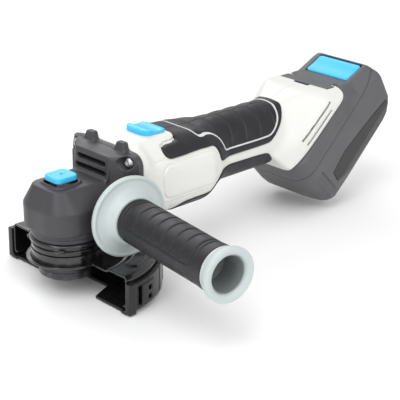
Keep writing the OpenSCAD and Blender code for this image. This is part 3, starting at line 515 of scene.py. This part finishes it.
def pack_lower(x, y, z):
    """Lower shell of the pack, 0.1 mm clear of the upper one."""
    _, v = rail(x, z)
    return smax(pack(x, y, z), v + (PACK_SEAM + 0.1), 0.5)


def pack_label(x, y, z):
    """Plain plates in the label bays."""
    u, v = rail(x, z)
    half = pack_half(-v)
    return smax(poly(u, -v, LABEL) + 0.1, np.maximum(np.abs(y) - half + 0.25, half - 1.6 - np.abs(y)), 0.5)


BUTTON_COS, BUTTON_SIN = math.cos(PACK_RISE), math.sin(PACK_RISE)


def button_frame(x, z):
    """Place along the sloped top of the pack, and height above it."""
    dx, dz = x - 280, z - 92
    return BUTTON_COS * dx + BUTTON_SIN * dz, -BUTTON_SIN * dx + BUTTON_COS * dz


def pack_button(x, y, z):
    """Release button with a hollow crown, on its post."""
    bx, bz = button_frame(x, z)
    plan = smax(slab(bx, 1.75, 22.6), np.abs(y) - 22.45, 3.0)
    crown = curve(bx, ((0, -0.2), (3, 0.5), (12, 0.0), (21, 0.5), (24, -0.1)), 2)
    d = smax(plan, slab(bz, -2.4, crown), 1.0)
    post = most(slab(x, 283.7, 286.3), np.abs(y) - 7.5, slab(z, 81.1, 92.4))
    return np.minimum(d, post)


# Slide switch and spindle lock
def thumb(x, y, z):
    """Thumb slide: high at the front, a dip behind, and its foot through the slot."""
    ay = np.abs(y)
    top = curve(x, ((65, 91.0), (66.8, 93.0), (69.0, 94.2), (72, 94.0), (75.5, 92.3), (80, 92.0),
        (83.5, 92.4), (86.5, 92.2), (88.4, 90.9)), 0.9)
    plan = smax(smax(slab(x, 66.1, 87.9), ay - 12.4, 2.0), 0.85 * (66.1 - x) + 0.53 * (ay - 8.2), 2.0)
    plan = smax(plan, 0.8 * (x - 87.9) + 0.6 * (ay - 9.2), 2.0)
    d = smax(plan, np.maximum(89.3 - z, z - top - 0.012 * (12 - ay)), 0.9)
    return np.minimum(d, box3(x, y, z, (75.2, -2.9, 82.6), (78.9, 2.9, 90.2), 0.2))


def rod(x, y, z):
    """Flat rod from the thumb slide back and down to the switch."""
    bar = box3(x, y, z, (72, -4, 82.3), (120, 4, 83.6), 0.3)
    bend = box3(x, y, z, (118.5, -4, 76), (120, 4, 83.6), 0.3)
    return np.minimum(np.minimum(bar, bend), box3(x, y, z, (118.5, -4, 76), (148.4, 4, 77.6), 0.3))


def cap(x, y, z):
    """Cap of the spindle lock, with a dimple and a well for its spring."""
    d = smax(box2(x + 3.7, y, 9.7, 9.0, 4.4), slab(z, 71.5, 75.7), 1.2)
    d = carve(d, smax(np.hypot(x + 3, y) - 1.25, 73.6 - z, 0.2), 0.5)
    return carve(d, np.maximum(np.hypot(x + 10, y) - 2.95, z - 73.75), 0.1)


# Meshes from shapes
def nets(f, low, step):
    """Surface of a sampled distance field: a point in each crossed cell, a quad on each crossed edge."""
    cells = np.array(f.shape) - 1
    ids, at, quads = [], [], []
    for a in range(3):
        b, c = (a + 1) % 3, (a + 2) % 3
        fa = f.take(np.arange(f.shape[a] - 1), axis=a)
        fb = f.take(np.arange(1, f.shape[a]), axis=a)
        edge = np.argwhere((fa < 0) != (fb < 0))
        va = fa[tuple(edge.T)]
        vb = fb[tuple(edge.T)]
        p = edge.astype(float)
        p[:, a] += va / (va - vb)
        ring = []
        for db, dc in ((0, 0), (-1, 0), (-1, -1), (0, -1)):
            q = edge.copy()
            q[:, b] += db
            q[:, c] += dc
            ok = ((q >= 0) & (q < cells)).all(1)
            flat = np.where(ok, (q[:, 0] * cells[1] + q[:, 1]) * cells[2] + q[:, 2], -1)
            ids.append(flat[ok])
            at.append(p[ok])
            ring.append(flat)
        ring = np.stack(ring, 1)
        keep = (ring >= 0).all(1)
        ring[va >= 0] = ring[va >= 0][:, ::-1]
        quads.append(ring[keep])
    ids, at, quads = np.concatenate(ids), np.concatenate(at), np.concatenate(quads)
    used, inverse = np.unique(ids, return_inverse=True)
    n = np.bincount(inverse)
    points = np.stack([np.bincount(inverse, at[:, k]) / n for k in range(3)], 1)
    return np.array(low) + points * step, np.searchsorted(used, quads)


def settle(points, shape, step):
    """Moves points onto the exact surface."""
    start, h = points.copy(), 0.12
    for _ in range(3):
        x, y, z = points.T
        d = shape(x, y, z)
        g = np.stack([
            shape(x + h, y, z) - shape(x - h, y, z),
            shape(x, y + h, z) - shape(x, y - h, z),
            shape(x, y, z + h) - shape(x, y, z - h)], 1) / (2 * h)
        move = -(d / np.maximum((g * g).sum(1), 0.3))[:, None] * g
        points = points + np.clip(move, -0.4 * step, 0.4 * step)
        points = start + np.clip(points - start, -0.75 * step, 0.75 * step)
    return points


def to_object(name, points, faces, material):
    """Blender object of points in mm and faces of one size, with its material."""
    mesh = bpy.data.meshes.new(name)
    faces = np.asarray(faces)
    mesh.vertices.add(len(points))
    mesh.vertices.foreach_set("co", (np.asarray(points) * MM).astype(np.float32).ravel())
    mesh.loops.add(faces.size)
    mesh.loops.foreach_set("vertex_index", faces.astype(np.int32).ravel())
    mesh.polygons.add(len(faces))
    mesh.polygons.foreach_set("loop_start", np.arange(len(faces), dtype=np.int32) * faces.shape[1])
    mesh.update(calc_edges=True)
    mesh.validate()
    mesh.polygons.foreach_set("use_smooth", np.full(len(mesh.polygons), True))
    obj = bpy.data.objects.new(name, mesh)
    bpy.context.scene.collection.objects.link(obj)
    mesh.materials.append(MATERIALS[material])
    return obj


def solid(name, shape, low, high, step, material, body_name, *nodes, side=None, place=None):
    """Piece whose surface is where shape(x, y, z) is 0. side keeps one half, place moves the points."""
    step = step * FINE
    fun = shape
    if side:
        fun = lambda x, y, z: smax(shape(x, y, z), 0.02 - side * y, 0.35)
        low, high = (list(v) for v in (low, high))
        low[1], high[1] = (-1.5, high[1]) if side > 0 else (low[1], 1.5)
    axes = [np.arange(a - 1.5 * step, b + 2.5 * step, step) for a, b in zip(low, high)]
    field = fun(axes[0][:, None, None], axes[1][None, :, None], axes[2][None, None, :])
    field = np.broadcast_to(field, [len(a) for a in axes]).astype(np.float64)
    points, quads = nets(field, [a[0] for a in axes], step)
    points = settle(points, fun, step)
    if place:
        points = place(points)
    obj = to_object(name, points, quads, material)
    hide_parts(*nodes)
    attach(obj, body_name)
    return obj


def rounded(profile, steps=6):
    """Outline with its corners rounded: profile rows are (radius, height, fillet)."""
    out = []
    n = len(profile)
    for i, (r, z, fillet) in enumerate(profile):
        p = np.array((r, z), float)
        a = np.array(profile[i - 1][:2], float) - p
        b = np.array(profile[(i + 1) % n][:2], float) - p
        la, lb = np.linalg.norm(a), np.linalg.norm(b)
        if fillet <= 0:
            out.append(tuple(p))
            continue
        cut = min(fillet, la * 0.48, lb * 0.48)
        s, e = p + a / la * cut, p + b / lb * cut
        for k in range(steps + 1):
            t = k / steps
            out.append(tuple((1 - t) ** 2 * s + 2 * t * (1 - t) * p + t * t * e))
    return out


def lathe(name, profile, material, body_name, *nodes, axes=None, origin=(0, 0, 0), segments=128):
    """Turned piece. axes are the two across directions and the axis itself."""
    axes = np.array(axes if axes is not None else np.eye(3), float)
    segments = max(int(segments / FINE), 24)
    ring = rounded(profile)
    points, faces = [], []
    for k in range(segments):
        a = 2 * math.pi * k / segments
        for r, t in ring:
            points.append(np.array(origin) + r * math.cos(a) * axes[0] + r * math.sin(a) * axes[1]
                + t * axes[2])
    n = len(ring)
    for k in range(segments):
        for i in range(n):
            j, m = (i + 1) % n, (k + 1) % segments
            faces.append((k * n + i, m * n + i, m * n + j, k * n + j))
    obj = to_object(name, points, faces, material)
    bm_clean(obj)
    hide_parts(*nodes)
    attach(obj, body_name)
    return obj


def bm_clean(obj):
    """Joins double points and turns every face outwards."""
    bm = bmesh.new()
    bm.from_mesh(obj.data)
    bmesh.ops.remove_doubles(bm, verts=bm.verts, dist=1e-6)
    bmesh.ops.recalc_face_normals(bm, faces=bm.faces)
    bm.to_mesh(obj.data)
    bm.free()


def surface(name, color, rough, metallic=0.0, grain=(900, 0.03), mottle=0.05, tone=40, spread=0.08,
            coat=0.0, scratch=0.0, wear=0.0, worn=None, specular=0.5, brushed=False):
    """Procedural material: colour mottle, roughness drift, fine grain, scratches and edge wear."""
    m = bpy.data.materials.new(name)
    m.use_nodes = True
    t = m.node_tree
    n, link = t.nodes, t.links.new
    b = n["Principled BSDF"]
    b.inputs["Metallic"].default_value = metallic
    b.inputs["Specular IOR Level"].default_value = specular
    b.inputs["Coat Weight"].default_value = coat
    b.inputs["Coat Roughness"].default_value = 0.12
    where = n.new("ShaderNodeTexCoord").outputs["Object"]

    def noise(scale, detail, stretch=None):
        node = n.new("ShaderNodeTexNoise")
        node.inputs["Scale"].default_value = scale
        node.inputs["Detail"].default_value = detail
        node.inputs["Roughness"].default_value = 0.55
        if stretch:
            mp = n.new("ShaderNodeMapping")
            mp.inputs["Scale"].default_value = stretch
            link(where, mp.inputs["Vector"])
            link(mp.outputs["Vector"], node.inputs["Vector"])
        else:
            link(where, node.inputs["Vector"])
        return node.outputs["Fac"]

    def spread_map(value, low, high, a=0.3, c=0.7):
        r = n.new("ShaderNodeMapRange")
        for k, v in (("From Min", a), ("From Max", c), ("To Min", low), ("To Max", high)):
            r.inputs[k].default_value = v
        link(value, r.inputs["Value"])
        return r.outputs["Result"]

    def mix(fac, a, c):
        x = n.new("ShaderNodeMix")
        x.data_type = "RGBA"
        link(fac, x.inputs[0])
        for socket, v in ((x.inputs[6], a), (x.inputs[7], c)):
            if isinstance(v, tuple):
                socket.default_value = (*v, 1)
            else:
                link(v, socket)
        return x.outputs[2]

    dark = tuple(v * (1 - mottle) for v in color)
    light = tuple(min(v * (1 + mottle), 1) for v in color)
    shade = mix(spread_map(noise(tone, 4), 0, 1), dark, light)
    drift = noise(tone * 1.7, 5, (4, 60, 60) if brushed else None)
    level = spread_map(drift, rough - spread, rough + spread)
    if wear:
        edge = spread_map(n.new("ShaderNodeNewGeometry").outputs["Pointiness"], 0, 1, 0.53, 0.62)
        patch = spread_map(noise(160, 5), 0, wear, 0.45, 0.75)
        both = n.new("ShaderNodeMath")
        both.operation = "MULTIPLY"
        link(edge, both.inputs[0])
        link(patch, both.inputs[1])
        shade = mix(both.outputs[0], shade, worn or light)
    link(shade, b.inputs["Base Color"])
    link(level, b.inputs["Roughness"])
    bump = n.new("ShaderNodeBump")
    bump.inputs["Strength"].default_value = grain[1] * 10
    bump.inputs["Distance"].default_value = 0.0002
    link(noise(grain[0], 2, (1, 14, 14) if brushed else None), bump.inputs["Height"])
    last = bump
    if scratch:
        second = n.new("ShaderNodeBump")
        second.inputs["Strength"].default_value = scratch
        second.inputs["Distance"].default_value = 0.0001
        link(spread_map(noise(60, 2, (1, 22, 9)), 0, 1, 0.62, 0.66), second.inputs["Height"])
        link(bump.outputs["Normal"], second.inputs["Normal"])
        last = second
    link(last.outputs["Normal"], b.inputs["Normal"])
    return m


MATERIALS = {
    "gear_case": surface("gear_case", (0.05, 0.048, 0.054), 0.46, 0.25, (1500, 0.035), 0.08, 60, 0.05,
                         wear=0.25, worn=(0.2, 0.2, 0.21)),
    "steel": surface("steel", (0.52, 0.52, 0.54), 0.3, 1.0, (700, 0.02), 0.05, 90, 0.08, brushed=True),
    "flange_steel": surface("flange_steel", (0.06, 0.06, 0.065), 0.34, 0.8, (800, 0.02), 0.1, 90, 0.1,
                            wear=0.5, worn=(0.35, 0.35, 0.36)),
    "white_shell": surface("white_shell", (0.70, 0.70, 0.67), 0.42, 0.0, (1300, 0.022), 0.018, 18, 0.05),
    "rubber": surface("rubber", (0.011, 0.011, 0.014), 0.47, 0.0, (1100, 0.07), 0.15, 50, 0.07, specular=0.4),
    "inlay": surface("inlay", (0.62, 0.63, 0.64), 0.4, 0.0, (900, 0.02), 0.04, 40, 0.05),
    "magnet": surface("magnet", (0.12, 0.12, 0.13), 0.5, 0.6, (900, 0.05), 0.15, 60, 0.1),
    "inner_plastic": surface("inner_plastic", (0.03, 0.03, 0.033), 0.5, 0.0, (900, 0.04), 0.1, 50, 0.07),
    "brass": surface("brass", (0.72, 0.5, 0.2), 0.32, 1.0, (700, 0.02), 0.06, 90, 0.08, brushed=True),
    "carbon": surface("carbon", (0.02, 0.02, 0.02), 0.7, 0.0, (900, 0.08), 0.2, 60, 0.08),
    "circuit_board": surface("circuit_board", (0.02, 0.16, 0.07), 0.4, 0.0, (900, 0.02), 0.1, 60, 0.06),
    "copper": surface("copper", (0.62, 0.24, 0.1), 0.35, 1.0, (900, 0.04), 0.08, 90, 0.08, brushed=True),
    "accent": surface("accent", (0.035, 0.48, 0.80), 0.33, 0.0, (1200, 0.015), 0.03, 40, 0.05),
    "guard_paint": surface("guard_paint", (0.006, 0.006, 0.007), 0.2, 0.0, (500, 0.02), 0.2, 60, 0.07,
                           coat=0.5, scratch=0.25, wear=0.35, worn=(0.12, 0.12, 0.12)),
    "cover_plastic": surface("cover_plastic", (0.008, 0.008, 0.009), 0.3, 0.0, (900, 0.03), 0.15, 50,
                             0.08, scratch=0.15),
    "handle_plastic": surface("handle_plastic", (0.47, 0.52, 0.52), 0.38, 0.0, (1300, 0.02), 0.02, 25, 0.05),
    # painted shade: a darker copy of the handle plastic for the inside of the bore
    "bore_painted_shade": surface("bore_painted_shade", (0.2, 0.22, 0.22), 0.34, 0.0, (1300, 0.02), 0.04, 25, 0.05),
    "battery_shell": surface("battery_shell", (0.09, 0.09, 0.095), 0.5, 0.0, (1300, 0.05), 0.08, 40, 0.06),
    "cell_wrap": surface("cell_wrap", (0.05, 0.18, 0.42), 0.3, 0.0, (600, 0.02), 0.06, 40, 0.06),
    "label": surface("label", (0.02, 0.02, 0.022), 0.4, 0.0, (1500, 0.02), 0.08, 50, 0.05),
}

# CAD nodes take the material of their slot.
slot_of = {s["node"]: s["material_slot"] for s in frame["record"]["subparts"]}
for cad_name, cad_obj in frame["nodes"].items():
    cad_obj.data.materials.clear()
    cad_obj.data.materials.append(MATERIALS[slot_of[cad_name]])


# Pieces: name, shape, low and high corner of the grid, its step, slot, body and CAD nodes
for side, name in ((-1, "left"), (1, "right")):
    solid(f"shell_{name}", shell, (42, -39.5, 26), (263, 39.5, 93), 0.72, "white_shell", "root",
          f"housing_{name}", side=side)
    solid(f"rubber_grip_{name}", grip, (68, -33.5, 58), (214, 33.5, 92), 0.55, "rubber", "root",
          f"grip_{name}", side=side)
solid("grip_inlay", inlay_line, (105, -30, 60), (211, 30, 92), 0.42, "inlay", "root", "grip_inlays")
solid("rubber_low", low_grip, (128, -30, 30), (202, 30, 57), 0.6, "rubber", "root", "lower_grips")
solid("rubber_belly", belly, (79, -36, 27), (133, 36, 52), 0.6, "rubber", "root", "belly_pad")
solid("side_plates", panel, (62, -36, 45), (126, 36, 74), 0.6, "white_shell", "root", "side_panels")
solid("gear_head", head, (-29, -40, 26), (43, 40, 95), 0.55, "gear_case", "root", "gear_housing")
solid("thumb_slide", thumb, (65, -13.5, 86), (89, 13.5, 94), 0.3, "accent", "switch", "slide_switch")
solid("slide_rod", rod, (71, -4.5, 75), (149, 4.5, 84.5), 0.4, "steel", "switch", "switch_rod")
solid("lock_cap", cap, (-14, -10, 71), (7, 10, 76.5), 0.3, "accent", "spindle_lock", "lock_button")
solid("wheel_guard", guard, (-31, -67, -8.5), (67, 67, 18), 0.6, "guard_paint", "guard", "guard_shell")
solid("clip_on_cover", cover, (-4, -71.5, -13), (71.5, 71.5, 12), 0.5, "cover_plastic", "clip_cover",
      "cutting_cover")
solid("pack_upper_shell", pack_upper, (195, -38.5, 9), (306, 38.5, 106), 0.8, "battery_shell", "battery",
      "battery_top_shell")
solid("pack_lower_shell", pack_lower, (202, -38.5, -8), (326, 38.5, 106), 0.8, "battery_shell", "battery",
      "battery_bottom_shell")
solid("pack_label_plates", pack_label, (246, -38, 6), (322, 38, 80), 0.5, "label", "battery",
      "battery_labels")
solid("pack_button", pack_button, (280, -23.5, 80), (303, 23.5, 104), 0.4, "accent", "battery_release",
      "battery_button")

handle_axes = np.array([(HANDLE_COS, -HANDLE_SIN, 0), (0, 0, 1), (-HANDLE_SIN, -HANDLE_COS, 0)])
handle_origin = np.array(HANDLE_ROOT)


def place_sleeve(p):
    """Points of the sleeve, drawn along x, on the side handle's axis."""
    turned = np.stack([p[:, 1], p[:, 2], p[:, 0]], 1)
    return handle_origin + turned @ handle_axes


solid("handle_sleeve", handle_rubber, (10, -17.5, -17.5), (110, 17.5, 17.5), 0.45, "rubber", "side_handle",
      "side_handle_grip", place=place_sleeve)

# Turned pieces: each profile row is (radius, height, fillet)
lathe("handle_core", [
    (4.2, -3, 0), (13, -3, 0.6), (29.0, -2.2, 1.0), (30.5, -0.9, 1.2), (30.5, 1.7, 1.3), (29.0, 2.6, 0.9),
    (27.0, 1.6, 2.0), (20.5, 3.2, 5.0), (17.6, 10.5, 0.6), (14.4, 10.5, 0), (14.4, 109.6, 0),
    (17.2, 109.6, 0.8), (17.6, 112, 2.5), (19.9, 117.4, 2.5), (19.7, 120.4, 1.6), (16.2, 120.5, 1.6),
    (13.6, 118.6, 2.2), (13.6, 96, 1.5), (11.5, 93, 1.5), (11.5, 18, 0.6), (4.2, 18, 0)],
    "handle_plastic", "side_handle", "side_handle_core", axes=handle_axes, origin=handle_origin)
lathe("neck_cover", [
    (12.3, 11, 0.3), (23.2, 11, 0.5), (23.95, 11.8, 0.6), (23.95, 20.8, 0.3), (25.6, 21, 0.6),
    (25.6, 24.4, 0.5), (24.4, 25, 0.5), (24.4, 26.4, 0.4), (26.8, 26.8, 0.5), (26.8, 29.0, 0.6),
    (25.8, 29.9, 0.3), (23.3, 29.95, 0), (23.3, 33.4, 0.2), (16.1, 33.4, 0.2), (16.1, 22.6, 0),
    (12.3, 22.6, 0)],
    "guard_paint", "root", "bearing_cover")


def coil(center_x, radius, wire, low, height, rings=92, per_turn=28):
    """Points and faces of a spring of round wire, which stands at (center_x, 0)."""
    points, faces = [], []
    sides = 8
    for i in range(rings):
        turn, rise = 2 * math.pi * i / per_turn, low + height * i / (rings - 1)
        here, after = sides * i, sides * (i + 1)
        for s in range(sides):
            b = 2 * math.pi * s / sides
            r = radius + wire * math.cos(b)
            points.append((r * math.cos(turn) + center_x, r * math.sin(turn), rise + wire * math.sin(b)))
            if i < rings - 1:
                t = (s + 1) % sides
                faces.append((here + s, here + t, after + t, after + s))
    # three quads close the wire's eight sides at each end
    for at in (0, sides * (rings - 1)):
        for quad in ((0, 1, 2, 3), (0, 3, 4, 7), (4, 5, 6, 7)):
            faces.append(tuple(at + k for k in quad))
    return points, faces


# Spring of the spindle lock: its foot stays on the root body when the cap moves.
# Dark flange steel instead of bright steel: partly a black-oxide spring, partly painted shade in the gap
# under the cap
spring = to_object("cap_spring", *coil(-10, 2.4, 0.3, 68.4, 4.9), "flange_steel")
bm_clean(spring)
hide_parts("lock_spring")
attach(spring, "root")
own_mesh(spring)

# Screws round the neck and in the flange
SCREW_CIRCLE = 26.2
for k in range(4):
    turn = math.radians(45 + 90 * k)
    lathe(f"neck_screw_{k + 1}", [
        (0.2, 24.6, 0), (1.6, 24.7, 0.4), (2.5, 25.4, 0.5), (2.6, 27.1, 0.1), (0.2, 27.1, 0)],
        "flange_steel", "root", "bearing_cover_screws",
        origin=(SCREW_CIRCLE * math.cos(turn), SCREW_CIRCLE * math.sin(turn), 0), segments=32)
for k, (y, z) in enumerate(((-29, 33), (29, 33), (-29, 82.5), (29, 82.5))):
    lathe(f"head_screw_{k + 1}", [
        (0.2, -9.5, 0), (2.1, -9.5, 0.4), (2.1, 0, 0), (3.9, 0, 0.2), (3.9, 1.3, 0.6), (2.6, 2.6, 1.0),
        (1.7, 2.7, 0.3), (1.3, 1.2, 0.3), (0.2, 1.1, 0)], "steel", "root", "gear_housing_screws",
        axes=((0, 1, 0), (0, 0, 1), (-1, 0, 0)), origin=(36.1, y, z), segments=48)
# A thin liner in a darker copy of the handle plastic: painted shade inside the hollow end of the side handle
lathe("handle_bore_shade", [
    (0.4, 95.0, 0), (13.52, 95.0, 0), (13.52, 117.2, 0.2), (12.9, 117.2, 0.2), (12.9, 96, 1.2), (0.4, 96, 0)],
    "bore_painted_shade", "side_handle", "side_handle_core", axes=handle_axes, origin=handle_origin, segments=96)
lathe("disc_flange", [
    (7.2, 5.5, 0.2), (20.7, 5.5, 0.4), (20.7, 9.2, 0.9), (17.5, 10.3, 1.2), (7.2, 10.3, 0.2)],
    "flange_steel", "spindle_unit", "inner_flange")

# Studio: white world, paper floor, four soft lamps and the camera of the photograph
bpy.context.scene.world = bpy.data.worlds.new("studio")
world = bpy.context.scene.world
world.use_nodes = True
world.node_tree.nodes["Background"].inputs["Color"].default_value = (1, 1, 1, 1)
world.node_tree.nodes["Background"].inputs["Strength"].default_value = 0.66
bpy.context.scene.view_settings.view_transform = "Standard"

floor_z = cad_box[0][2] - 0.0003
floor = bpy.data.meshes.new("floor")
corners = [(x, y, floor_z) for x, y in ((-4, -4), (4, -4), (4, 4), (-4, 4))]
floor.from_pydata(corners, [], [(0, 1, 2, 3)])
floor = bpy.data.objects.new("floor", floor)
bpy.context.scene.collection.objects.link(floor)
floor.data.materials.append(surface("floor_paper", (0.93, 0.93, 0.93), 0.7, 0.0, (300, 0.01), 0.005, 3, 0.05))


def lamp(name, at, target, size, power):
    """Rectangular lamp at a place, which faces the target."""
    light = bpy.data.lights.new(name, "AREA")
    light.shape = "RECTANGLE"
    light.size, light.size_y = size
    light.energy = power
    obj = bpy.data.objects.new(name, light)
    bpy.context.scene.collection.objects.link(obj)
    direction = np.array(at, float) - np.array(target, float)
    z = direction / np.linalg.norm(direction)
    x = np.cross((0, 0, 1.0), z)
    x /= np.linalg.norm(x)
    obj.matrix_world = Matrix.LocRotScale(at, Matrix(np.stack([x, np.cross(z, x), z], 1).tolist()), (1, 1, 1))


middle = (0.12, -0.02, 0.05)
lamp("key", (-0.55, -0.25, 1.15), middle, (1.0, 1.0), 8.5)
lamp("fill", (0.15, -1.25, 0.85), middle, (1.2, 0.8), 6.5)
lamp("rim", (0.5, 1.1, 0.9), middle, (1.2, 0.5), 6.5)
lamp("strip", (-1.0, -0.35, 0.25), middle, (0.25, 0.9), 2.6)

camera = bpy.data.cameras.new("camera")
camera.lens = 116.4
camera.sensor_width = 36
camera.clip_start = 0.01
camera_obj = bpy.data.objects.new("camera", camera)
bpy.context.scene.collection.objects.link(camera_obj)
# Rows of aim: the camera's right, its up, and back from the tool
aim = np.array([(0.7206, -0.6932, 0.0125), (0.2521, 0.2788, 0.9267), (-0.6459, -0.6647, 0.3756)]).T
camera_obj.matrix_world = Matrix.LocRotScale((-0.5306, -0.6846, 0.4049), Matrix(aim.tolist()), (1, 1, 1))
bpy.context.scene.camera = camera_obj
